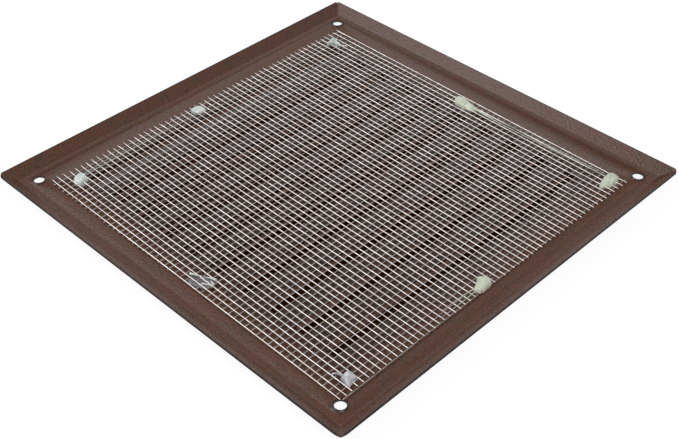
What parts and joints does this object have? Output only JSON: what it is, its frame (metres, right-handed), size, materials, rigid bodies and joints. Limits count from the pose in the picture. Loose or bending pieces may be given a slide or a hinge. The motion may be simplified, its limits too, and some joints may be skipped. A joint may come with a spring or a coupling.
{
  "type": "square vent grille",
  "caption": "Square louvred steel vent grille with a turned-up rim, four screw holes and a wire insect mesh glued over its back.",
  "frame": {"origin": "middle of the square panel, at the level of the louvre lips that it lies on", "axes": "+Z out of the back, X along the louvres, +Y towards the side that the louvres open to"},
  "size_m": [0.2, 0.2, 0.0083],
  "materials": {
    "hammered_brown_steel": null,
    "galvanised_wire": null,
    "hot_melt_glue": null
  },
  "bodies": {
    "root": {"louvre_panel": "hammered_brown_steel", "mesh_long_wires": "galvanised_wire", "mesh_cross_wires": "galvanised_wire", "glue_rear_left": "hot_melt_glue", "glue_rear_middle": "hot_melt_glue", "glue_rear_right": "hot_melt_glue", "glue_right_middle": "hot_melt_glue", "glue_front_right": "hot_melt_glue", "glue_front_middle": "hot_melt_glue", "glue_front_left": "hot_melt_glue", "glue_left_middle": "hot_melt_glue"}
  },
  "joints": []
}
